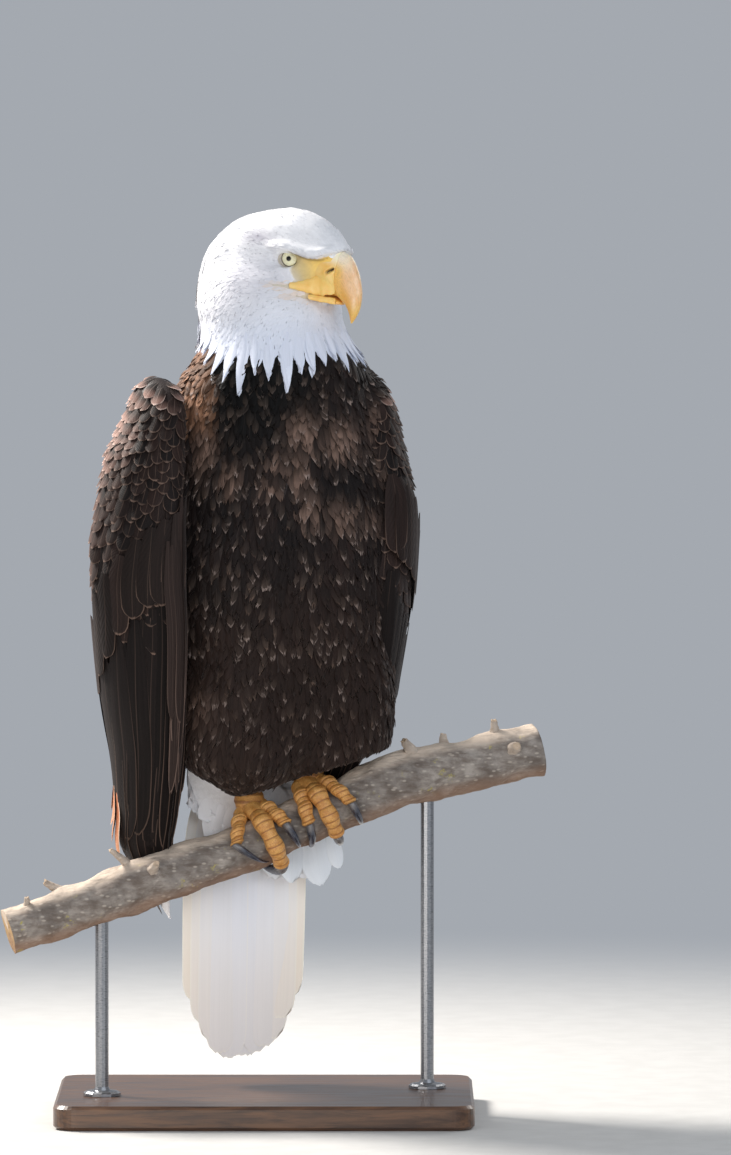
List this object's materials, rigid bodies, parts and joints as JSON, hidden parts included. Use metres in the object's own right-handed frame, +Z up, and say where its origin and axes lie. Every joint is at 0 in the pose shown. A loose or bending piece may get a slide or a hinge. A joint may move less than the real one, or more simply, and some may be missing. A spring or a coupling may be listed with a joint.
{
  "type": "bald eagle on a perch",
  "caption": "Life-size bald eagle perched upright on a short cut branch, head turned to its left, on a flat base with slim rods.",
  "frame": {"origin": "on the underside of the stand's base, straight below the middle of the perch", "axes": "+Z up; -Y towards the side the breast faces; +X along the perch, which rises that way"},
  "size_m": [0.4962, 0.2793, 0.83],
  "materials": {
    "feathers_white": "soft layered white feathers",
    "feathers_brown": "soft layered dark brown feathers with paler tips",
    "feathers_wing": "layered brown wing feathers with pale edges",
    "feathers_flight": "long stiff blackish brown feathers",
    "bill_horn": "smooth golden horn",
    "cere_skin": "bare yellow skin",
    "foot_scale": "scaled orange skin",
    "claw_horn": "polished black horn",
    "eye": "clear domed eye with a cream iris",
    "bark": "rough grey brown bark",
    "stand_wood": "satin dark wood",
    "stand_steel": "brushed"
  },
  "bodies": {
    "root": {"head": "feathers_white", "neck": "feathers_white", "trunk": "feathers_brown", "bill_upper": "bill_horn", "bill_lower": "bill_horn", "cere": "cere_skin", "eye_right": "eye", "eye_left": "eye", "thigh_right": "feathers_brown", "thigh_left": "feathers_brown", "wing_right_coverts": "feathers_wing", "wing_right_primaries": "feathers_flight", "wing_right_secondaries": "feathers_flight", "wing_left_coverts": "feathers_wing", "wing_left_primaries": "feathers_flight", "wing_left_secondaries": "feathers_flight", "tail": "feathers_white", "tail_coverts": "feathers_white", "foot_right": "foot_scale", "foot_left": "foot_scale", "perch": "bark", "stand_base": "stand_wood", "stand_rod_left": "stand_steel", "stand_rod_right": "stand_steel", "claw_right_outer": "claw_horn", "claw_right_middle": "claw_horn", "claw_right_inner": "claw_horn", "claw_right_hind": "claw_horn", "claw_left_outer": "claw_horn", "claw_left_middle": "claw_horn", "claw_left_inner": "claw_horn", "claw_left_hind": "claw_horn"}
  },
  "joints": []
}
